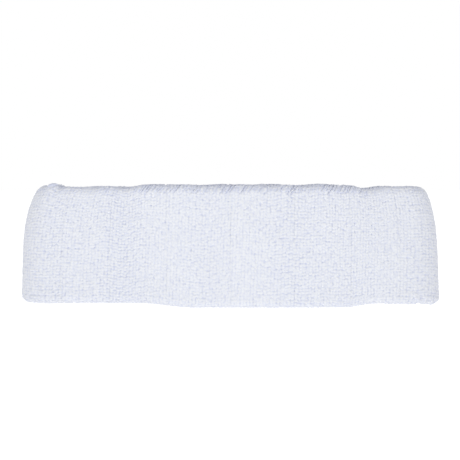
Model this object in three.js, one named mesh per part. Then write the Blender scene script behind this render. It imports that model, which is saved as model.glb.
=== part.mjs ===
// Sports headband: one tube of cotton terry knit folded double along its bottom rim and closed
// along its top rim by an overcast seam, with an elastic web between the two plies. It stands on
// the bottom rim as a flattened loop. Millimetres, +Z up, front towards -Y; the origin is at the
// bottom centre. The loop opens on upright fold lines, so it is built as a chain of segments:
// each group's origin is the fold line that joins it to its parent.

import * as THREE from 'three';

// The resting loop, measured over the outside
const LOOP_LENGTH = 180;
const LOOP_DEPTH = 36;
const BAND_HEIGHT = 51;
const END_RADIUS = 14;
const MIDDLE_HALF = 15; // half of the straight stretch at the middle of the front and of the back

// The double wall
const PLY = 2.45; // one ply of terry, pile included
const FOLD_FLAT = 1.4; // half-width of the flat that the bottom fold stands on
const FOLD_ROUND = 3;
const RIM_ROUND = 1.2;
const TOP_LEAN = 2; // how far the top rim is drawn inwards by the seam
const LEAN_START = 24; // height where the wall starts to lean

// Elastic web, seam and tack
const ELASTIC = 0.9; // thickness of the web
const ELASTIC_MARGIN = 6; // from the web's edges to the fold's inside and to the raw edges
const SEAM_HEIGHT = 1.9;
const TACK_LENGTH = 5;
const TACK_WIDTH = 2.4;
const TACK_HEIGHT = 1.6;
const TACK_FROM_FOLD = 10.5; // along the front, from the left end's fold line

// Clearances
const TOUCH = 0.3; // between pieces that touch
const CUT = 0.4; // between neighbouring segments at a fold line

// Fold lines: how many segments lie between the middle and an end, and the end fold's direction
const FRONT_SEGMENTS = ['near', 'mid', 'far'];
const END_FOLD_TURN = THREE.MathUtils.degToRad(55);

// Fineness of the curves
const FRONT_STEP = 16;
const END_STEP = THREE.MathUtils.degToRad(11.25);
const ROUND_STEPS = 3;
const LEAN_ROWS = 4;
const SEAM_STEPS = 6;

const CORE_SPACE = ELASTIC + 2 * TOUCH; // between the plies
const WALL = 2 * PLY + CORE_SPACE;
const SEAM_WIDTH = WALL - 2 * RIM_ROUND; // the seam covers both raw edges
const PLY_TOP = BAND_HEIGHT - SEAM_HEIGHT - TOUCH;

// The plan: a straight middle, a shallow front arc and a tight end arc, all tangent to each other,
// and the same again towards the back.
const endCentreX = LOOP_LENGTH / 2 - END_RADIUS;
const reach = endCentreX - MIDDLE_HALF;
const halfDepth = LOOP_DEPTH / 2;
const flatness = 2 * (halfDepth - END_RADIUS);
const frontRadius = (reach ** 2 + halfDepth ** 2 - END_RADIUS ** 2) / flatness;
const frontSweep = Math.asin(reach / (frontRadius - END_RADIUS));
const frontMid = frontRadius - WALL / 2;
const endMid = END_RADIUS - WALL / 2;
const frontArcLength = frontMid * frontSweep;
const endArcLength = endMid * (Math.PI - 2 * frontSweep);
const HALF_LOOP = 2 * MIDDLE_HALF + 2 * frontArcLength + endArcLength;

// Fold lines, as distances along the middle of the wall from the middle of the front
const MIDDLE_FOLD = MIDDLE_HALF;
const END_FOLD = MIDDLE_HALF + frontArcLength + endMid * (END_FOLD_TURN - frontSweep);
const FOLD_PITCH = (END_FOLD - MIDDLE_FOLD) / FRONT_SEGMENTS.length;

// Point of the wall's middle line and its outward direction at a distance from the front's middle.
// Positive distances go round by the right end, negative ones by the left end.
function planPoint(distance) {
  const side = Math.sign(distance) || 1;
  const along = Math.abs(distance);
  const isBack = along > HALF_LOOP / 2;
  const fromMiddle = isBack ? HALF_LOOP - along : along;
  const depthSide = isBack ? 1 : -1;
  const point = new THREE.Vector2(fromMiddle, halfDepth - WALL / 2);
  const outward = new THREE.Vector2(0, 1);
  if (fromMiddle > MIDDLE_HALF + frontArcLength) {
    const turn = frontSweep + (fromMiddle - MIDDLE_HALF - frontArcLength) / endMid;
    outward.set(Math.sin(turn), Math.cos(turn));
    point.set(endCentreX + endMid * outward.x, endMid * outward.y);
  } else if (fromMiddle > MIDDLE_HALF) {
    const turn = (fromMiddle - MIDDLE_HALF) / frontMid;
    outward.set(Math.sin(turn), Math.cos(turn));
    point.set(MIDDLE_HALF + frontMid * outward.x, halfDepth - frontRadius + frontMid * outward.y);
  }
  const flip = new THREE.Vector2(side, depthSide);
  return { point: point.multiply(flip), outward: outward.multiply(flip) };
}

function offsetPoint(distance, offset) {
  const { point, outward } = planPoint(distance);
  return point.clone().addScaledVector(outward, offset);
}

// Distances at which a swept piece needs a cross-section
function stations(from, to) {
  const arcStart = MIDDLE_HALF;
  const endStart = arcStart + frontArcLength;
  const backStart = endStart + endArcLength;
  const backEnd = backStart + frontArcLength;
  const stretches = [
    [arcStart, endStart, FRONT_STEP],
    [endStart, backStart, endMid * END_STEP],
    [backStart, backEnd, FRONT_STEP],
  ];
  const inside = [];
  for (const [start, end, step] of stretches) {
    const count = Math.ceil((end - start) / step);
    for (let i = 0; i <= count; i += 1) {
      const distance = start + ((end - start) * i) / count;
      inside.push(distance, -distance);
    }
  }
  const between = inside.filter((distance) => distance > from + CUT && distance < to - CUT);
  return [...new Set([from, ...between, to])].sort((a, b) => b - a);
}

function lean(height) {
  const above = Math.max(0, height - LEAN_START);
  return TOP_LEAN * (above / (BAND_HEIGHT - LEAN_START)) ** 2;
}

// Sweeps a cross-section, given as offsets from the wall's middle line and heights, round the plan.
function sweep(section, from, to) {
  const leaning = section.map((corner) => new THREE.Vector2(corner.x - lean(corner.y), corner.y));
  const rings = stations(from, to);
  const positions = [];
  for (const distance of rings) {
    for (const corner of leaning) {
      const place = offsetPoint(distance, corner.x);
      positions.push(place.x, place.y, corner.y);
    }
  }
  const size = leaning.length;
  const last = (rings.length - 1) * size;
  const indices = [];
  for (let ring = 0; ring < last; ring += size) {
    for (let i = 0; i < size; i += 1) {
      const next = (i + 1) % size;
      indices.push(ring + i, ring + next, ring + size + next);
      indices.push(ring + i, ring + size + next, ring + size + i);
    }
  }
  for (const [a, b, c] of THREE.ShapeUtils.triangulateShape(leaning, [])) {
    indices.push(c, b, a);
    indices.push(last + a, last + b, last + c);
  }
  const geometry = new THREE.BufferGeometry();
  geometry.setAttribute('position', new THREE.Float32BufferAttribute(positions, 3));
  geometry.setIndex(indices);
  return geometry;
}

function roundCorner(centre, radiusX, radiusY, fromAngle) {
  const corners = [];
  for (let i = 0; i <= ROUND_STEPS; i += 1) {
    const angle = fromAngle + (Math.PI / 2) * (i / ROUND_STEPS);
    const spoke = new THREE.Vector2(radiusX * Math.cos(angle), radiusY * Math.sin(angle));
    corners.push(spoke.add(centre));
  }
  return corners;
}

function leanHeights(top) {
  const heights = [];
  for (let i = 0; i < LEAN_ROWS; i += 1) {
    heights.push(LEAN_START + ((top - LEAN_START) * i) / LEAN_ROWS);
  }
  return heights;
}

// Adds the mirror image of a half section, so that the outline closes.
function mirrored(half) {
  const other = half.map((corner) => new THREE.Vector2(-corner.x, corner.y)).reverse();
  return [...half, ...other];
}

// The outer half runs from the fold up to the raw edge under the seam, and down inside the core.
function wallSection() {
  const foldCentre = new THREE.Vector2(FOLD_FLAT, FOLD_ROUND);
  const rimCentre = new THREE.Vector2(WALL / 2 - RIM_ROUND, PLY_TOP - RIM_ROUND);
  const rows = leanHeights(rimCentre.y);
  const outerHalf = [
    ...roundCorner(foldCentre, WALL / 2 - FOLD_FLAT, FOLD_ROUND, -Math.PI / 2),
    ...rows.map((height) => new THREE.Vector2(WALL / 2, height)),
    ...roundCorner(rimCentre, RIM_ROUND, RIM_ROUND, 0),
    new THREE.Vector2(CORE_SPACE / 2, PLY_TOP),
    ...rows.reverse().map((height) => new THREE.Vector2(CORE_SPACE / 2, height)),
    new THREE.Vector2(CORE_SPACE / 2, PLY),
  ];
  return mirrored(outerHalf);
}

function elasticSection() {
  const bottom = PLY + ELASTIC_MARGIN;
  const top = PLY_TOP - ELASTIC_MARGIN;
  const heights = [bottom, ...leanHeights(top), top];
  return mirrored(heights.map((height) => new THREE.Vector2(ELASTIC / 2, height)));
}

function seamSection() {
  const base = PLY_TOP + TOUCH;
  const section = [];
  for (let i = 0; i <= SEAM_STEPS; i += 1) {
    const angle = (Math.PI * i) / SEAM_STEPS;
    const offset = (SEAM_WIDTH / 2) * Math.cos(angle);
    section.push(new THREE.Vector2(offset, base + SEAM_HEIGHT * Math.sin(angle)));
  }
  return section;
}

// Materials
function textile(color, roughness) {
  return new THREE.MeshStandardMaterial({ color, roughness, metalness: 0 });
}
const cottonTerry = textile('#e6e9f1', 0.95);
const seamThread = textile('#d6d9e4', 0.8);
const coveredElastic = textile('#d9d5c8', 0.7);

// Every segment holds the same pieces.
const PIECES = [
  ['terry_wall', wallSection(), cottonTerry],
  ['closing_seam', seamSection(), seamThread],
  ['elastic_web', elasticSection(), coveredElastic],
];

// Bending inwards closes the wall's inner face, so that fold line lies where the rim is innermost.
// An end opens out on fold lines in its outer face.
const INNER_FACE = -WALL / 2 - TOP_LEAN;
const OUTER_FACE = WALL / 2;

function addPiece(group, pivot, name, geometry, material) {
  geometry.translate(-pivot.x, -pivot.y, 0);
  geometry.computeVertexNormals();
  const mesh = new THREE.Mesh(geometry, material);
  mesh.name = name;
  group.add(mesh);
}

function addSegment(parent, name, from, to, pivot) {
  const group = new THREE.Group();
  group.position.set(pivot.x - parent.pivot.x, pivot.y - parent.pivot.y, 0);
  for (const [piece, section, material] of PIECES) {
    const geometry = sweep(section, from + CUT / 2, to - CUT / 2);
    addPiece(group, pivot, `${name}_${piece}`, geometry, material);
  }
  parent.group.add(group);
  return { group, pivot };
}

// One arm's segments in order, from the middle of the front round an end to the middle of the back:
// name, where it starts, where it ends, and the face that its first fold line lies in
function armSteps(sideName) {
  const front = FRONT_SEGMENTS.map((place, i) => {
    const start = MIDDLE_FOLD + i * FOLD_PITCH;
    return [`front_${sideName}_${place}`, start, start + FOLD_PITCH, INNER_FACE];
  });
  const back = FRONT_SEGMENTS.map((place, i) => {
    const start = HALF_LOOP - MIDDLE_FOLD - (i + 1) * FOLD_PITCH;
    const face = i === FRONT_SEGMENTS.length - 1 ? OUTER_FACE : INNER_FACE;
    return [`back_${sideName}_${place}`, start, start + FOLD_PITCH, face];
  });
  return [
    ...front,
    [`${sideName}_end`, END_FOLD, HALF_LOOP - END_FOLD, OUTER_FACE],
    ...back.reverse(),
    [`back_middle_${sideName}`, HALF_LOOP - MIDDLE_FOLD, HALF_LOOP, INNER_FACE],
  ];
}

function addArm(root, side, sideName) {
  const segments = new Map();
  let parent = root;
  for (const [name, near, far, face] of armSteps(sideName)) {
    const pivot = offsetPoint(side * near, face);
    const from = Math.min(side * near, side * far);
    const to = Math.max(side * near, side * far);
    parent = addSegment(parent, name, from, to, pivot);
    segments.set(name, parent);
  }
  return segments;
}

// The knot where the seam thread ends, sewn down on the seam
function addSeamTack(segment) {
  const geometry = new THREE.SphereGeometry(0.5, 16, 8);
  geometry.scale(TACK_LENGTH, TACK_WIDTH, TACK_HEIGHT);
  const distance = TACK_FROM_FOLD - END_FOLD;
  const { outward } = planPoint(distance);
  const place = offsetPoint(distance, -lean(BAND_HEIGHT));
  geometry.rotateZ(Math.atan2(outward.y, outward.x) + Math.PI / 2);
  geometry.translate(place.x, place.y, BAND_HEIGHT + TOUCH + TACK_HEIGHT / 2);
  addPiece(segment.group, segment.pivot, 'seam_tack', geometry, seamThread);
}

const headband = new THREE.Group();
headband.name = 'sports_headband';
const base = { group: headband, pivot: new THREE.Vector2(0, 0) };
const frontMiddle = addSegment(base, 'front_middle', -MIDDLE_FOLD, MIDDLE_FOLD, base.pivot);
addArm(frontMiddle, 1, 'right');
const leftArm = addArm(frontMiddle, -1, 'left');
addSeamTack(leftArm.get('front_left_far'));

export default headband;
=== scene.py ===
"""A white terry sweatband, standing on its lower fold as a flattened loop.

The knitted terry tube is folded double, so one wall has an outer and an inner ply.
Elastic lies between the plies, and overcast thread closes them along the top rim.
Every piece but the knot crosses one fold of the loop.
Lengths in the sizes below are millimetres; meshes are in metres.
"""

import math

import bpy
import numpy as np
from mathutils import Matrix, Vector


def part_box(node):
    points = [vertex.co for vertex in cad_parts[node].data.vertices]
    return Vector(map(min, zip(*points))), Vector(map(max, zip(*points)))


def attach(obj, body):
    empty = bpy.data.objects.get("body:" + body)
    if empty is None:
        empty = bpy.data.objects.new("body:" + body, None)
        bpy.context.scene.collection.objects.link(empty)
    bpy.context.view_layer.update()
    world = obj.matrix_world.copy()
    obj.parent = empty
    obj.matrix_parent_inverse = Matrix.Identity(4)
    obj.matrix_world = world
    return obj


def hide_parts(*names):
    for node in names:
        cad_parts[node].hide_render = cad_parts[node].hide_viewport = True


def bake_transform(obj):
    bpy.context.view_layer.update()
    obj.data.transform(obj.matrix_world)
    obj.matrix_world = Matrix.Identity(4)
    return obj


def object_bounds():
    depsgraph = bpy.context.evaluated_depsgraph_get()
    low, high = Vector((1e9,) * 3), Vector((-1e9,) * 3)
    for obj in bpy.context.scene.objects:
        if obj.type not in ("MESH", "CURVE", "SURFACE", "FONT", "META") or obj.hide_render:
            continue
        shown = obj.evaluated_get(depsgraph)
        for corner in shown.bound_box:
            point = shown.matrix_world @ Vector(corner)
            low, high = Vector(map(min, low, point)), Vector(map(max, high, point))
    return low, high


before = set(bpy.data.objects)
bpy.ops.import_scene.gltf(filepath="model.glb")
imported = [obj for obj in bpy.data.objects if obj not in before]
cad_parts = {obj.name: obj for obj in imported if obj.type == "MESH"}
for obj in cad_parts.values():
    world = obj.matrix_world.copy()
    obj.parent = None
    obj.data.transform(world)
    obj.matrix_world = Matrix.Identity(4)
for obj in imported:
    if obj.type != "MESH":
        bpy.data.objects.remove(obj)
cad_low, cad_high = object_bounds()

MM = 0.001
METRE = 1000.0
SEED = 41

# Sizes of the band, which follow the CAD solids.
END_RADIUS = 14.0
MIDDLE_HALF = 15.0
PLY = 2.45
CORE_SPACE = 1.5
WALL = 2 * PLY + CORE_SPACE
LEAN_START = 24.0
BAND_HEIGHT = 51.0
TOP_LEAN = 2.0
ELASTIC = 0.9
ELASTIC_MARGIN = 6.0

# Terry knit: one loop of pile for each stitch.
# GRID is the spacing of the mesh that shows it, and PILE_SUNK sets the pile's middle
# on the ply's face. Neighbouring wales are staggered by a share of a course.
GRID = 0.22
WALE = 1.36
COURSE = 1.30
PILE = 0.46
PILE_SUNK = 0.42
FUZZ = 0.74
FUZZ_HEIGHT = 0.30
EDGE = 2.3
EDGE_HEIGHT = 0.72
WALE_LEAN = 0.04
STAGGER = 0.22
STAGGER_AT_END = 0.14

# Overcast seam. A tube is drawn with THREAD_SIDES sides.
STITCH = 1.45
STITCH_SLANT = 2.1
STITCH_DEPTH = 2.9
THREAD = 0.5
THREAD_SIDES = 7

# Strips that a piece's finish map is cut into, side by side in a square.
WALL_STRIPS = 4
THREAD_STRIPS = 9


# --- The loop's plan -------------------------------------------------------------------

front_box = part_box("front_middle_terry_wall")
right_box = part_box("right_end_terry_wall")
HALF_DEPTH = -front_box[0].y * METRE
HALF_LENGTH = right_box[1].x * METRE
END_CENTRE = HALF_LENGTH - END_RADIUS
REACH = END_CENTRE - MIDDLE_HALF
BOW = (REACH**2 + HALF_DEPTH**2 - END_RADIUS**2) / (2 * (HALF_DEPTH - END_RADIUS))
BOW_TURN = math.asin(REACH / (BOW - END_RADIUS))
BOW_MIDDLE = BOW - WALL / 2
END_MIDDLE = END_RADIUS - WALL / 2
BOW_LENGTH = BOW_MIDDLE * BOW_TURN
HALF_LOOP = 2 * (MIDDLE_HALF + BOW_LENGTH) + END_MIDDLE * (math.pi - 2 * BOW_TURN)
LOOP = 2 * HALF_LOOP


def plan(along):
    """Where the wall's middle runs, and which way is outward, along mm from the front."""
    along = np.asarray(along, float)
    side = np.where(along < 0, -1.0, 1.0)
    far = np.abs(along)
    back = far > HALF_LOOP / 2
    near = np.where(back, HALF_LOOP - far, far)
    facing = np.where(back, 1.0, -1.0)
    bow = (near - MIDDLE_HALF) / BOW_MIDDLE
    end = BOW_TURN + (near - MIDDLE_HALF - BOW_LENGTH) / END_MIDDLE
    on_end = near > MIDDLE_HALF + BOW_LENGTH
    on_bow = (near > MIDDLE_HALF) & ~on_end
    turn = np.where(on_end, end, np.where(on_bow, bow, 0.0))
    radius = np.where(on_end, END_MIDDLE, BOW_MIDDLE)
    start_x = np.where(on_end, END_CENTRE, np.where(on_bow, MIDDLE_HALF, near))
    start_y = np.where(on_end, 0.0, HALF_DEPTH - BOW)
    x = side * (start_x + radius * np.sin(turn))
    y = facing * (start_y + radius * np.cos(turn))
    return x, y, side * np.sin(turn), facing * np.cos(turn)


def smooth(value, low, high):
    """0 below low, 1 above high, and an even S curve between."""
    t = np.clip((np.asarray(value, float) - low) / (high - low), 0.0, 1.0)
    return t * t * (3 - 2 * t)


def hump(value, centre, half_width):
    """A smooth hump, 1 at the centre and 0 beyond half_width."""
    t = np.clip(np.abs(np.asarray(value, float) - centre) / half_width, 0.0, 1.0)
    return (1 - t * t) ** 2


# --- How the sewn band departs from an even wall ---------------------------------------

draws = np.random.default_rng(SEED)
WAVES = [(turns, draws.uniform(-1, 1), draws.uniform(0, 2 * math.pi)) for turns in range(3, 26)]


def waves(along, first, last, size):
    """An even mixture of slow waves round the loop."""
    total = np.zeros_like(np.asarray(along, float))
    for turns, amount, phase in WAVES:
        if first <= turns <= last:
            total += amount * np.sin(2 * math.pi * turns * along / LOOP + phase)
    return size * total


def foot_rise(along):
    """The lower fold lifts off the table towards the ends."""
    x = plan(along)[0]
    left_lift = 1.9 * smooth(-x, 15.0, 38.0)
    right_lift = 1.6 * smooth(x, 48.0, 62.0)
    right_corner = 0.8 * smooth(x, 80.5, 86.5)
    return left_lift + right_lift - right_corner


def rim_change(along):
    """The top rim's height changes, with the seam's gather and a dip near the right end."""
    x, y = plan(along)[:2]
    front = y < 0
    left_fall = 0.8 * smooth(-x, 38.0, 46.0)
    right_fall = 0.6 * smooth(x, 60.0, 66.0)
    change = -left_fall - right_fall
    dip = np.where(front, 1.5, 1.4) * hump(x, 59.5, 8.5)
    change -= dip
    notch_by_knot = np.where(front, 0.4, 0.1) * hump(x, -77.9, 1.9)
    change -= notch_by_knot
    mound_past_knot = np.where(front, 1.2, 0.6) * hump(x, -81.2, 3.7)
    change += mound_past_knot
    left_corner = 0.6 * smooth(-x, 82.0, 87.0)
    right_corner = 0.3 * smooth(x, 80.0, 87.0)
    change += left_corner - right_corner
    calmer_right = 1 - 0.6 * smooth(x, 60.0, 68.0)
    return change + waves(along, 9, 25, 0.09) * calmer_right


def rim_draw_in(x, height):
    """How far the gathered rim draws the two ends inward at each height."""
    below = BAND_HEIGHT - height
    left = x < 0
    most = np.where(left, 5.4, 3.9)
    reach = np.where(left, 10.5, 12.5)
    return most * np.exp(-below / reach) * smooth(height, 8.0, 26.0)


def place(along, offset, height):
    """A point of the wall: along the loop, out from its middle, and up, in mm."""
    along, offset, height = np.broadcast_arrays(along, offset, height)
    x, y, out_x, out_y = plan(along)
    lean = TOP_LEAN * (np.maximum(height - LEAN_START, 0.0) / (BAND_HEIGHT - LEAN_START)) ** 2
    sway = waves(along, 5, 16, 0.11) * smooth(height, 0.0, 30.0)
    offset = offset - lean + sway
    x = x + out_x * offset
    y = y + out_y * offset
    x = x - np.sign(x) * rim_draw_in(x, height) * smooth(np.abs(x), 34.0, 84.0)
    share = np.clip(height / BAND_HEIGHT, 0.0, 1.1)
    z = height + foot_rise(along) * (1 - share) + rim_change(along) * share**3
    return np.stack([x, y, z], axis=-1) * MM


# --- Terry pile ------------------------------------------------------------------------

WALES = 2 * int(round(LOOP / WALE / 2))
COURSES = 100
FUZZ_WALES = 2 * int(round(LOOP / FUZZ / 2))
FUZZ_COURSES = 196
EDGE_COURSES = 60


def pile_lattice(across, up):
    """Every loop's own shift, height and lean."""
    return {
        "shift": draws.uniform(-1, 1, (across, up, 2)),
        "tall": draws.uniform(0, 1, (across, up)),
        "lean": draws.uniform(-1, 1, (across, up)),
    }


EDGE_WALES = 2 * int(round(LOOP / EDGE / 2))
LOOPS = pile_lattice(WALES, COURSES)
TUFTS = pile_lattice(FUZZ_WALES, FUZZ_COURSES)
EDGE_TUFTS = pile_lattice(EDGE_WALES, EDGE_COURSES)


def near_end(along):
    """1 at the two ends of the band, easing to 0 away from them."""
    return 1 - smooth(np.abs(np.abs(along) - HALF_LOOP / 2), 12.0, 50.0)


def domes(along, up, lattice, pitch_along, pitch_up, jitter, spread, slant, rows_merge=1.0):
    """Height, 0 to 1, of rounded loops set on a jittered lattice."""
    across, rows = lattice["tall"].shape
    cell_along = np.floor((along + HALF_LOOP) / pitch_along).astype(int)
    cell_up = np.floor(up / pitch_up + 0.25).astype(int)
    best = np.zeros(np.broadcast(along, up).shape)
    for step_along in (-1, 0, 1):
        for step_up in (-1, 0, 1):
            i = cell_along + step_along
            j = cell_up + step_up
            own = (i % across, np.clip(j, 0, rows - 1))
            shift = lattice["shift"][own]
            centre_along = (i + 0.5 + jitter * shift[..., 0]) * pitch_along - HALF_LOOP
            stagger = STAGGER - (STAGGER - STAGGER_AT_END) * near_end(centre_along)
            centre_up = (j + stagger * (i % 2) + jitter * shift[..., 1]) * pitch_up
            away_up = (up - centre_up) / (spread * rows_merge * pitch_up)
            lean = slant + 0.5 * lattice["lean"][own]
            away_along = (along - centre_along) / (spread * pitch_along) + lean * away_up * 0.4
            inside = np.maximum(1 - away_along**2 - away_up**2, 0.0)
            height = np.sqrt(inside) * (0.70 + 0.30 * lattice["tall"][own])
            best = np.maximum(best, height)
    return best


def pile_height(along, up, ease):
    """Pile height in mm: loops and the finer tufts of their yarns over them, and a painted shade tone, high
    on their tops.
    """
    leaning = along + WALE_LEAN * (up - SEEN_LENGTH / 2) + waves(along, 3, 9, 0.5)
    merge = 0.98 - 0.05 * near_end(along) + waves(along, 4, 12, 0.05)
    rows = up + waves(along, 8, 25, 0.12)
    loops = domes(leaning, rows, LOOPS, LOOP / WALES, COURSE, 0.16, 0.68, 0.2, merge)
    tufts = domes(along, up, TUFTS, LOOP / FUZZ_WALES, FUZZ, 0.40, 0.75, 0.0)
    edge = domes(along, up, EDGE_TUFTS, LOOP / EDGE_WALES, EDGE, 0.45, 0.60, 0.0)
    from_rim = np.minimum(up, SEEN_LENGTH - up)
    from_fold = up - SEEN_LENGTH / 2
    at_rim = np.exp(-((from_rim / 4.0) ** 2))
    at_fold = np.exp(-((from_fold / 8.0) ** 2)) * smooth(np.abs(along), 55.0, 80.0)
    uneven = EDGE_HEIGHT * edge * (0.5 * at_rim + at_fold)
    # Painted shade: the tone is high on the tops of loops and tufts and low in the hollows between them.
    painted_pile_shade = 0.65 * loops + 0.35 * tufts
    return (PILE * loops + FUZZ_HEIGHT * tufts + uneven) * ease, painted_pile_shade


# --- The wall's U-shaped section -------------------------------------------------------

# Heights where the rim's and the fold's rounding start, the rim's rise over that, the
# groove where the plies meet, and how much painted shade darkens the crest.
RIM_CENTRE = 48.2
RIM_RISE = 3.4
FOLD_CENTRE = 3.2
GROOVE = 0.4
RIM_SHADE = 0.45
ARC_POINTS = 60


def seen_profile():
    """Down the outer face, round the fold and up the inner face: offset, height in mm."""
    half = WALL / 2
    turn = np.linspace(math.radians(89.8), 0.0, ARC_POINTS)
    rim_offset = half * np.sign(np.cos(turn)) * np.abs(np.cos(turn)) ** 0.85
    rim_height = RIM_CENTRE + RIM_RISE * np.sin(turn) ** 0.9
    rim_height = rim_height - GROOVE * np.exp(-((rim_offset / 0.7) ** 2))
    sides = np.linspace(RIM_CENTRE, FOLD_CENTRE, ARC_POINTS)[1:-1]
    fold_turn = np.linspace(0.0, math.pi / 2, ARC_POINTS)
    fold_offset = half * np.cos(fold_turn) ** 0.9
    fold_height = FOLD_CENTRE - FOLD_CENTRE * np.sin(fold_turn) ** 0.9
    offset = np.concatenate([rim_offset, np.full(sides.size, half), fold_offset])
    height = np.concatenate([rim_height, sides, fold_height])
    offset = np.concatenate([offset, -offset[-2::-1]])
    height = np.concatenate([height, height[-2::-1]])
    return np.stack([offset, height], axis=1)


def resampled(points, spacing):
    """The same line with points an even spacing apart, and each point's distance along."""
    run = np.concatenate([[0], np.cumsum(np.linalg.norm(np.diff(points, axis=0), axis=1))])
    count = int(math.ceil(run[-1] / spacing))
    at = np.linspace(0, run[-1], count + 1)
    return np.stack([np.interp(at, run, points[:, k]) for k in (0, 1)], axis=1), at


SEEN, SEEN_UP = resampled(seen_profile(), GRID)
SEEN_LENGTH = SEEN_UP[-1]
SEEN_ALONG = np.gradient(SEEN, axis=0)
SEEN_ALONG /= np.linalg.norm(SEEN_ALONG, axis=1)[:, None]
SEEN_OUT = np.stack([-SEEN_ALONG[:, 1], SEEN_ALONG[:, 0]], axis=1)


def core_profile():
    """The plies' faces towards the core, from the inner ply's rim round to the outer's."""
    half = CORE_SPACE / 2
    closed_rim = [(0.02, 49.8), (0.05, 47.0)]
    line = closed_rim + [(half, height) for height in (44.0, 40.0, 30.0, 20.0, 10.0, 4.2)]
    inner = [(-offset, height) for offset, height in line]
    round_end = [(-0.55, 3.4), (0.0, 3.1), (0.55, 3.4)]
    return np.array(inner + round_end + line[::-1])


CORE = core_profile()


# --- Overcast stitches and the pile round them -----------------------------------------

STITCHES = int(LOOP / STITCH) + 4
STITCH_SHIFT = draws.uniform(-0.28, 0.28, STITCHES)
STITCH_PULL = draws.uniform(0.15, 1.0, STITCHES)
STITCH_REACH = draws.uniform(-1.6, 0.4, STITCHES)


def stitch_groove(along, offset, height):
    """How deep the overcast thread pulls into the pile, 0 to 1, along its slanting line."""
    down = RIM_CENTRE + RIM_RISE - height
    climb = np.clip((height - RIM_CENTRE - 0.7) / (RIM_RISE - 0.9), -0.4, 1.0)
    phase = (along - STITCH_SLANT * climb) / STITCH
    number = np.round(phase).astype(int) % STITCHES
    nearest = np.abs(phase - np.round(phase) - STITCH_SHIFT[number]) * STITCH
    deepest = STITCH_DEPTH + STITCH_REACH[number]
    reach = 1 - smooth(down, deepest + 0.2, deepest + 1.3)
    return np.exp(-((nearest / 0.30) ** 2)) * reach * STITCH_PULL[number]


def stitch_showing(along):
    """How plainly the stitches show: the pile hides them here and there."""
    x, y = plan(along)[:2]
    clear_stretch = smooth(x, 32.0, 40.0) * (1 - smooth(x, 53.0, 57.0))
    past_dip = smooth(x, 54.5, 58.5)
    left_end = smooth(-x, 38.0, 50.0)
    plain = 0.74 + 0.10 * smooth(x, -20.0, 20.0) + 0.25 * clear_stretch - 0.5 * past_dip
    plain = plain - 0.35 * left_end + np.where(y > 0, 0.3, 0.0)
    return np.clip(plain + waves(along, 12, 25, 0.09), 0.03, 1.2)


def wall_grid(first, last):
    """Points of one stretch of wall, and each point's painted shade: light on pile tips, dark in hollows,
    stitch grooves and the crest.
    """
    columns = int(round((last - first) / GRID))
    along = np.linspace(first, last, columns + 1)[:, None]
    up = SEEN_UP[None, :]
    offset = SEEN[None, :, 0]
    height = SEEN[None, :, 1]
    ease = smooth(up, 0.0, 1.2) * (1 - smooth(up, SEEN_LENGTH - 1.2, SEEN_LENGTH))
    pile, painted_pile_shade = pile_height(along, up, ease)
    showing = stitch_showing(along)
    groove = stitch_groove(along, offset, height) * showing
    pile = pile * (1 - 0.55 * groove) - 0.45 * groove
    out = pile - PILE_SUNK
    droop = 0.30 * pile * smooth(np.abs(offset), 2.4, 3.1)
    seen_offset = offset + SEEN_OUT[None, :, 0] * out
    seen_height = height + SEEN_OUT[None, :, 1] * out - droop
    core_offset = np.broadcast_to(CORE[None, :, 0], (columns + 1, len(CORE)))
    core_height = np.broadcast_to(CORE[None, :, 1], (columns + 1, len(CORE)))
    points = place(
        along,
        np.concatenate([seen_offset, core_offset], axis=1),
        np.concatenate([seen_height, core_height], axis=1),
    )
    # Painted shade: the colour tone is darkened along the crest and in the stitch grooves.
    from_crest = RIM_CENTRE + RIM_RISE - height
    shade = RIM_SHADE * np.exp(-((from_crest / 0.55) ** 2))
    painted_light_tone = painted_pile_shade * (1 - 0.45 * groove) * (1 - shade)
    painted_light_tone = np.concatenate([painted_light_tone, np.zeros(core_offset.shape)], axis=1)
    return points, painted_light_tone


# --- Meshes ----------------------------------------------------------------------------


def grid_solid(name, points, strips, painted_pile_shade=None):
    """A closed solid from a grid of rings, with caps, an even map for its finish, and any painted shade tone
    as its 'pile' attribute.
    """
    count, around = points.shape[:2]
    i, j = np.meshgrid(np.arange(count - 1), np.arange(around), indexing="ij")
    i, j = i.ravel(), j.ravel()
    after = (j + 1) % around
    quads = np.stack([i * around + j, (i + 1) * around + j], axis=1)
    quads = np.concatenate(
        [quads, np.stack([(i + 1) * around + after, i * around + after], axis=1)], axis=1
    )
    first_cap = list(range(around))
    last_cap = [(count - 1) * around + k for k in reversed(range(around))]
    mesh = bpy.data.meshes.new(name)
    mesh.from_pydata(points.reshape(-1, 3).tolist(), [], quads.tolist() + [first_cap, last_cap])
    flat = np.zeros(len(mesh.polygons), bool)
    flat[-2:] = True
    mesh.polygons.foreach_set("use_smooth", ~flat)
    lay_finish_map(mesh, i, j, count - 1, around, strips)
    if painted_pile_shade is not None:
        # The 'pile' attribute holds painted shade for the terry's colour.
        layer = mesh.attributes.new("pile", "FLOAT", "POINT")
        layer.data.foreach_set("value", painted_pile_shade.ravel().astype(np.float32))
    piece = bpy.data.objects.new(name, mesh)
    bpy.context.scene.collection.objects.link(piece)
    return piece


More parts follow.
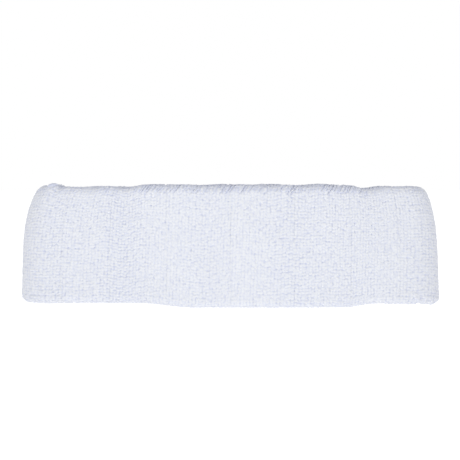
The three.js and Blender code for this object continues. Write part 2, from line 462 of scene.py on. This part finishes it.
def lay_finish_map(mesh, i, j, along, around, strips):
    """Lays the grid out as strips, side by side in a square."""
    split_around = around > along
    position, across = (j, i) if split_around else (i, j)
    length = around if split_around else along
    width = along if split_around else around
    rows = int(math.ceil(length / strips))
    side = int(math.ceil(math.sqrt(strips)))
    strip = position // rows
    corners = np.array([(0, 0), (1, 0), (1, 1), (0, 1)])
    if not split_around:
        corners = corners[:, ::-1]
    margin = 0.01
    cap_corner = 0.001
    u = (across[:, None] + corners[None, :, 0]) / width
    v = ((position - strip * rows)[:, None] + corners[None, :, 1]) / rows
    u = (strip % side)[:, None] + margin + (1 - 2 * margin) * u
    v = (strip // side)[:, None] + margin + (1 - 2 * margin) * v
    spots = np.stack([u, v], axis=-1).reshape(-1, 2) / side
    rest = len(mesh.loops) - len(spots)
    spots = np.concatenate([spots, np.full((rest, 2), cap_corner)])
    layer = mesh.uv_layers.new(name="OFBake")
    layer.data.foreach_set("uv", spots.ravel().astype(np.float32))


def tube(name, path, radius, sides, strips):
    """A round thread along a path of points, in metres."""
    path = np.asarray(path)
    radius = np.broadcast_to(np.asarray(radius, float), (len(path),))
    ahead = np.gradient(path, axis=0)
    ahead /= np.linalg.norm(ahead, axis=1)[:, None]
    across = np.cross(ahead, np.array([0.0, 0.0, 1.0]) + 0.001)
    for k in range(len(path)):
        if k:
            across[k] = across[k - 1] - ahead[k] * np.dot(ahead[k], across[k - 1])
        across[k] /= np.linalg.norm(across[k])
    other = np.cross(ahead, across)
    turn = np.linspace(0, 2 * math.pi, sides, endpoint=False)
    ring = across[:, None, :] * np.cos(turn)[None, :, None]
    ring = ring + other[:, None, :] * np.sin(turn)[None, :, None]
    points = path[:, None, :] + ring * radius[:, None, None]
    return grid_solid(name, points, strips)


# --- Finishes --------------------------------------------------------------------------


def colour(code):
    """A linear colour from an sRGB hex value."""
    parts = [int(code[k : k + 2], 16) / 255 for k in (1, 3, 5)]
    linear = [c / 12.92 if c <= 0.04045 else ((c + 0.055) / 1.055) ** 2.4 for c in parts]
    return (*linear, 1.0)


# Sockets that share a name are reached by number: a colour Mix node's, then a Math node's.
MIX_SHARE = 0
MIX_LOW = 6
MIX_HIGH = 7
MIX_COLOUR = 2
FIRST = 0
SECOND = 1
THIRD = 2


def add(tree, kind, settings=None, links=None):
    """Adds a node, with its settings and what feeds its sockets."""
    node = tree.nodes.new(kind)
    for name, value in (settings or {}).items():
        if isinstance(name, int) or name in node.inputs:
            node.inputs[name].default_value = value
        else:
            setattr(node, name, value)
    for name, source in (links or {}).items():
        tree.links.new(source, node.inputs[name])
    return node


def new_finish(name, surface_settings):
    """A material with one Principled surface, and its node tree."""
    finish = bpy.data.materials.new(name)
    finish.use_nodes = True
    tree = finish.node_tree
    tree.nodes.clear()
    surface = add(tree, "ShaderNodeBsdfPrincipled", surface_settings)
    add(tree, "ShaderNodeOutputMaterial", links={"Surface": surface.outputs["BSDF"]})
    return finish, tree, surface


def per_metre(pattern_mm):
    """The texture scale that makes one repeat of a pattern this many millimetres."""
    return METRE / pattern_mm


# At scale 1 a wave texture's bands repeat every 2 pi / 20 along an axis, and every
# 2 pi / 10 of the three coordinates added up where they are diagonal.
AXIS_BANDS = 2 * math.pi / 20
DIAGONAL_BANDS = 2 * math.pi / 10


# Looped cotton terry, bleached: matt and milky, with a cool brightener in its white.
# Painted shade: the pile's tips are painted lighter, and a bluish grey is painted into the hollows between
# loops, the stitch grooves and the crest.
def cotton_terry():
    finish, tree, surface = new_finish(
        "bleached_cotton_terry",
        {
            "Roughness": 0.94,
            "Sheen Weight": 0.25,
            "Sheen Roughness": 0.6,
            "Sheen Tint": colour("#F2F4FA"),
            "Specular IOR Level": 0.25,
            "IOR": 1.5,
        },
    )
    place_in = add(tree, "ShaderNodeTexCoord").outputs["Object"]
    pile = add(tree, "ShaderNodeAttribute", {"attribute_name": "pile"}).outputs["Fac"]
    # Uneven bleaching, which changes slowly over about 22 mm.
    slow = add(
        tree,
        "ShaderNodeTexNoise",
        {"Scale": per_metre(22.0), "Detail": 2.0},
        {"Vector": place_in},
    )
    # Yarn hairs are about 0.02 mm; drawn at 0.4 mm so that they show.
    hairs = add(
        tree,
        "ShaderNodeTexNoise",
        {"Scale": per_metre(0.4), "Detail": 3.0},
        {"Vector": place_in},
    )
    body = add(
        tree,
        "ShaderNodeMix",
        {"data_type": "RGBA", MIX_LOW: colour("#D8DADF"), MIX_HIGH: colour("#DEE0E5")},
        {MIX_SHARE: slow.outputs["Fac"]},
    )
    # Painted shade share, read from the 'pile' attribute: low in hollows, grooves and along the crest.
    painted_lit_share = add(
        tree,
        "ShaderNodeMapRange",
        {"From Min": 0.2, "From Max": 0.8, "To Min": 0.0, "To Max": 1.0},
        {"Value": pile},
    )
    # Mixes in the painted shade colour, #C1C6DA, where the share is low.
    colour_with_painted_shade = add(
        tree,
        "ShaderNodeMix",
        {"data_type": "RGBA", MIX_LOW: colour("#C1C6DA")},
        {MIX_SHARE: painted_lit_share.outputs["Result"], MIX_HIGH: body.outputs[MIX_COLOUR]},
    )
    tree.links.new(colour_with_painted_shade.outputs[MIX_COLOUR], surface.inputs["Base Color"])
    relief = add(
        tree,
        "ShaderNodeBump",
        {"Strength": 0.5, "Distance": 0.00018},
        {"Height": hairs.outputs["Fac"]},
    )
    tree.links.new(relief.outputs["Normal"], surface.inputs["Normal"])
    return finish


# Spun polyester sewing thread, two plies twisted: soft light and dark along each ply.
def sewing_thread():
    finish, tree, surface = new_finish(
        "spun_polyester_thread",
        {"Roughness": 0.7, "Sheen Weight": 0.15, "Sheen Roughness": 0.5, "IOR": 1.5},
    )
    place_in = add(tree, "ShaderNodeTexCoord").outputs["Object"]
    # The twist repeats about every 0.5 mm.
    twist = add(
        tree,
        "ShaderNodeTexWave",
        {"Scale": per_metre(0.5) * DIAGONAL_BANDS, "Distortion": 1.5, "bands_direction": "DIAGONAL"},
        {"Vector": place_in},
    )
    shade = add(
        tree,
        "ShaderNodeMix",
        {"data_type": "RGBA", MIX_LOW: colour("#C9CEE0"), MIX_HIGH: colour("#DADEEC")},
        {MIX_SHARE: twist.outputs["Fac"]},
    )
    tree.links.new(shade.outputs[MIX_COLOUR], surface.inputs["Base Color"])
    relief = add(
        tree,
        "ShaderNodeBump",
        {"Strength": 0.5, "Distance": 0.0001},
        {"Height": twist.outputs["Fac"]},
    )
    tree.links.new(relief.outputs["Normal"], surface.inputs["Normal"])
    return finish


# Rubber threads wound with polyester, knitted side by side: dull ribs along the band.
def covered_elastic():
    finish, tree, surface = new_finish(
        "covered_elastic_web",
        {"Roughness": 0.8, "Sheen Weight": 0.1, "Sheen Roughness": 0.5, "IOR": 1.5},
    )
    place_in = add(tree, "ShaderNodeTexCoord").outputs["Object"]
    # The wrapping yarn goes round every 0.6 mm.
    wrap = add(
        tree,
        "ShaderNodeTexWave",
        {"Scale": per_metre(0.6) * AXIS_BANDS, "Distortion": 0.8, "bands_direction": "Z"},
        {"Vector": place_in},
    )
    shade = add(
        tree,
        "ShaderNodeMix",
        {"data_type": "RGBA", MIX_LOW: colour("#CFCFCB"), MIX_HIGH: colour("#E6E6E2")},
        {MIX_SHARE: wrap.outputs["Fac"]},
    )
    tree.links.new(shade.outputs[MIX_COLOUR], surface.inputs["Base Color"])
    relief = add(
        tree,
        "ShaderNodeBump",
        {"Strength": 0.4, "Distance": 0.0001},
        {"Height": wrap.outputs["Fac"]},
    )
    tree.links.new(relief.outputs["Normal"], surface.inputs["Normal"])
    return finish


TERRY = cotton_terry()
SEWING = sewing_thread()
ELASTIC_WEB = covered_elastic()


# --- Folds and the stretches between them ----------------------------------------------

# Distances along the loop are in mm from the front middle. END_TURN is where on its arc an
# end folds, and END_REACH how much further an end's own pieces run than halfway.
END_TURN = math.radians(55)
END_REACH = 3.0
END_FOLD = MIDDLE_HALF + BOW_LENGTH + END_MIDDLE * (END_TURN - BOW_TURN)
FOLD_PITCH = (END_FOLD - MIDDLE_HALF) / 3
FRONT_FOLDS = [MIDDLE_HALF + k * FOLD_PITCH for k in range(3)] + [END_FOLD]
FOLDS = FRONT_FOLDS + [HALF_LOOP - f for f in reversed(FRONT_FOLDS)]
EDGES = [0.0] + [(a + b) / 2 for a, b in zip(FOLDS, FOLDS[1:])] + [HALF_LOOP]
FAR_FOLDS = (2, 5)
END_FOLDS = (3, 4)
EDGES[END_FOLDS[0]] -= END_REACH
EDGES[FAR_FOLDS[1]] += END_REACH

SIDES = {"right": 1.0, "left": -1.0}


def fold_bodies(side):
    """The bodies in order from the front middle round one side to the back middle."""
    front = [f"front_{side}_{part}" for part in ("near", "mid", "far")]
    back = [f"back_{side}_{part}" for part in ("far", "mid", "near")]
    return ["front_middle"] + front + [f"{side}_end"] + back + [f"back_middle_{side}"]


def fold_name(fold, side):
    """The fold's name, as its joint has it."""
    names = ["front_{}_near", "front_{}_mid", "front_{}_far", "{}_end_front"]
    names += ["{}_end_back", "back_{}_far", "back_{}_mid", "back_{}_near"]
    return names[fold].format(side)


def join_up(piece, fold, side, part, finish):
    """Gives a piece its finish, and hides the CAD solids it stands for."""
    bodies = fold_bodies(side)
    piece.data.materials.append(finish)
    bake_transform(piece)
    solids = [f"{bodies[fold + 1]}_{part}"]
    if fold == 0 and side == "right":
        solids.append(f"{bodies[0]}_{part}")
    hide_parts(*solids)


def stretch(fold, side):
    """The stretch of loop that one piece covers, from its lower to its higher end."""
    sign = SIDES[side]
    ends = sorted((sign * EDGES[fold], sign * EDGES[fold + 1]))
    return ends[0], ends[1]


def terry_wall(fold, side):
    """One stretch of the doubled terry, with its pile."""
    first, last = stretch(fold, side)
    points, painted_light_tone = wall_grid(first, last)
    piece = grid_solid(f"terry_{fold_name(fold, side)}_fold", points, WALL_STRIPS, painted_light_tone)
    join_up(piece, fold, side, "terry_wall", TERRY)


STITCH_POINTS = 26
STITCH_SPAN = 0.85
STITCH_LEAD = 0.15


def overcast_path(first, last):
    """Thread over the rim, stitch after stitch: slanting strokes outside, then back under."""
    first_stitch = int(math.ceil(first / STITCH - STITCH_LEAD))
    last_stitch = int(math.floor(last / STITCH - STITCH_SPAN))
    turn = np.linspace(0, 2 * math.pi, STITCH_POINTS, endpoint=False)
    stitches = np.arange(first_stitch, last_stitch + 1)
    start = ((stitches + STITCH_SHIFT[stitches % STITCHES]) * STITCH)[:, None]
    over = turn < math.pi
    half_width = WALL / 2 - 0.02
    offset = half_width * np.cos(turn)
    rise = np.where(over, np.abs(np.sin(turn)) ** 0.8, 0.0)
    height = RIM_CENTRE + 0.9 + (RIM_RISE - 1.0) * rise
    height = height - np.where(over, 0.0, 0.5 * np.abs(np.sin(turn)))
    forward = 2 * STITCH_SLANT * np.where(over, turn, 2 * math.pi - turn) / math.pi
    forward = forward + STITCH * np.where(over, 0.0, turn / math.pi - 1)
    along = start + forward[None, :]
    sunk = 0.34 * (1 - np.minimum(stitch_showing(along), 1.0))
    wobble = draws.uniform(-0.08, 0.08, (len(stitches), 1))
    offset = np.broadcast_to(offset[None, :], along.shape) * (1 - sunk / 3.2)
    height = np.broadcast_to(height[None, :], along.shape) - sunk + wobble
    return place(along, offset, height).reshape(-1, 3)


def overcast_seam(fold, side):
    """The stitches that close one stretch of rim."""
    first, last = stretch(fold, side)
    path = overcast_path(first, last)
    piece = tube(f"overcast_{fold_name(fold, side)}_fold", path, THREAD / 2 * MM, THREAD_SIDES, THREAD_STRIPS)
    join_up(piece, fold, side, "closing_seam", SEWING)


WEB_COLUMNS = 33
RIBS = 24
RIB_POINTS = 6
WEB_THIN = 0.10
WEB_TOP_GAP = 3.0


def elastic_web(fold, side):
    """The ribbed elastic between the plies."""
    first, last = stretch(fold, side)
    along = np.linspace(first, last, WEB_COLUMNS)[:, None]
    ribs = np.linspace(0, 1, RIBS * RIB_POINTS + 1)
    low = ELASTIC_MARGIN
    high = BAND_HEIGHT - ELASTIC_MARGIN - WEB_TOP_GAP
    rib = np.abs(np.sin(math.pi * RIBS * ribs)) ** 0.5
    swell = WEB_THIN + (ELASTIC / 2 - WEB_THIN) * rib
    swell[[0, -1]] = WEB_THIN
    heights = low + (high - low) * ribs
    offset = np.concatenate([swell[::-1], -swell])
    height = np.concatenate([heights[::-1], heights])
    points = place(along, offset[None, :], height[None, :])
    piece = grid_solid(f"elastic_{fold_name(fold, side)}_fold", points, WALL_STRIPS)
    join_up(piece, fold, side, "elastic_web", ELASTIC_WEB)


for side_name in SIDES:
    for fold_number in range(len(FOLDS)):
        terry_wall(fold_number, side_name)
        overcast_seam(fold_number, side_name)
        elastic_web(fold_number, side_name)


# --- The tack that locks the seam's thread ---------------------------------------------

KNOT_LIFT = -0.4
KNOT_THREAD = 1.1 * THREAD
KNOT_TURNS = 9
TURN_POINTS = 18
TAIL = np.array(
    [
        (0.7, -0.4, -0.3),
        (1.1, -1.2, -0.9),
        (1.2, -1.8, -1.8),
        (1.0, -2.1, -2.8),
    ]
)


def seam_tack():
    """Tight turns of thread bunched on the rim, with its short clipped tail."""
    low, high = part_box("seam_tack")
    middle = (low + high) / 2
    half_length = (high.x - low.x) / 2
    half_width = (high.y - low.y) / 2
    half_height = (high.z - low.z) / 2
    t = np.linspace(0, 1, KNOT_TURNS * TURN_POINTS)
    swell = np.sqrt(np.clip(1 - (2 * t - 1) ** 2 * 0.9, 0, 1))
    turn = 2 * math.pi * KNOT_TURNS * t
    shake = draws.uniform(-1, 1, t.size)
    shake = np.convolve(shake, np.ones(9) / 9, mode="same")
    x = middle.x + half_length * (2 * t - 1) * 0.82 + 0.3 * MM * np.sin(turn)
    y = middle.y + half_width * 0.8 * swell * np.cos(turn) + 0.4 * MM * shake
    z = middle.z - half_height * 0.5 + half_height * 1.2 * swell * np.sin(turn)
    z = z + 0.3 * MM * shake + KNOT_LIFT * MM
    path = np.stack([x, y, z], axis=1)
    path = np.concatenate([path, path[-1] + TAIL * MM])
    piece = tube("seam_knot", path, KNOT_THREAD / 2 * MM, THREAD_SIDES, THREAD_STRIPS)
    piece.data.materials.append(SEWING)
    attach(piece, "front_left_far")
    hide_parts("seam_tack")


seam_tack()


# --- Table, lights and camera ----------------------------------------------------------

FRONT_GLOW = 0.78
SIDE_LIFT = 0.06
SKY_FALL = 0.56
LAMP_WATTS = 0.40
TABLE_GLOW = 0.92
TABLE_HALF = 3.0
TABLE_GAP = 0.4
VIEW_WIDTH = 0.1992
VIEW_RISE = math.radians(2.5)
CENTRE = (cad_low + cad_high) / 2


def table_top():
    """A pale, even table under and behind the band."""
    mesh = bpy.data.meshes.new("table_top")
    half = TABLE_HALF
    level = cad_low.z - TABLE_GAP * MM
    corners = [(-half, -half), (half, -half), (half, half), (-half, half)]
    mesh.from_pydata([(x, y, level) for x, y in corners], [], [(0, 1, 2, 3)])
    top = bpy.data.objects.new("table_top", mesh)
    bpy.context.scene.collection.objects.link(top)
    paint = new_finish(
        "pale_table_paint",
        {
            "Roughness": 0.9,
            "Base Color": colour("#959597"),
            "Emission Color": colour("#FFFFFF"),
            "Emission Strength": TABLE_GLOW,
        },
    )[0]
    mesh.materials.append(paint)


def softbox(name, spot, aim, size, watts, tint):
    """A large soft lamp at a point, turned to face another."""
    lamp = bpy.data.lights.new(name, "AREA")
    lamp.shape = "RECTANGLE"
    lamp.size = size[0]
    lamp.size_y = size[1]
    lamp.energy = watts
    lamp.color = colour(tint)[:3]
    holder = bpy.data.objects.new(name, lamp)
    holder.location = spot
    holder.rotation_euler = (Vector(aim) - Vector(spot)).to_track_quat("-Z", "Y").to_euler()
    bpy.context.scene.collection.objects.link(holder)


def studio():
    """White surroundings, dimmer overhead and in front of the band than at its sides."""
    world = bpy.data.worlds.new("studio_white")
    bpy.context.scene.world = world
    world.use_nodes = True
    tree = world.node_tree
    tree.nodes.clear()
    toward = add(tree, "ShaderNodeTexCoord").outputs["Generated"]
    parts = add(tree, "ShaderNodeSeparateXYZ", links={"Vector": toward})
    above = add(
        tree,
        "ShaderNodeMapRange",
        {"From Min": 0.2, "From Max": 1.0, "To Min": 0.0, "To Max": -SKY_FALL},
        {"Value": parts.outputs["Z"]},
    )
    sides = add(
        tree,
        "ShaderNodeMath",
        {"operation": "POWER", SECOND: 2.0},
        {FIRST: parts.outputs["X"]},
    )
    ahead = add(
        tree,
        "ShaderNodeMapRange",
        {"From Min": 0.0, "From Max": -1.0, "To Min": 1.0, "To Max": FRONT_GLOW},
        {"Value": parts.outputs["Y"]},
    )
    dimmed = add(
        tree,
        "ShaderNodeMath",
        {"operation": "MULTIPLY_ADD", SECOND: SIDE_LIFT},
        {FIRST: sides.outputs["Value"], THIRD: ahead.outputs["Result"]},
    )
    total = add(
        tree,
        "ShaderNodeMath",
        {"operation": "ADD"},
        {FIRST: dimmed.outputs["Value"], SECOND: above.outputs["Result"]},
    )
    sky = add(
        tree,
        "ShaderNodeBackground",
        {"Color": colour("#FFFFFF")},
        {"Strength": total.outputs["Value"]},
    )
    add(tree, "ShaderNodeOutputWorld", links={"Surface": sky.outputs["Background"]})
    spot = (-0.015, -0.34, 0.15)
    aim = (0, 0, 0.02)
    softbox("front_softbox", spot, aim, (0.22, 0.16), LAMP_WATTS, "#FFFFFF")
    bpy.context.scene.view_settings.view_transform = "Standard"
    bpy.context.scene.view_settings.look = "None"


def camera():
    """A long lens in front of the band, looking slightly down on it."""
    lens = bpy.data.cameras.new("camera")
    lens.lens = 110.0
    lens.sensor_width = 36.0
    distance = VIEW_WIDTH / lens.sensor_width * lens.lens
    aim = Vector((CENTRE.x - 0.0002, CENTRE.y, BAND_HEIGHT * MM / 2 + 0.0066))
    spot = aim + distance * Vector((0, -math.cos(VIEW_RISE), math.sin(VIEW_RISE)))
    eye = bpy.data.objects.new("camera", lens)
    eye.location = spot
    eye.rotation_euler = (aim - spot).to_track_quat("-Z", "Y").to_euler()
    bpy.context.scene.collection.objects.link(eye)
    bpy.context.scene.camera = eye


table_top()
studio()
camera()
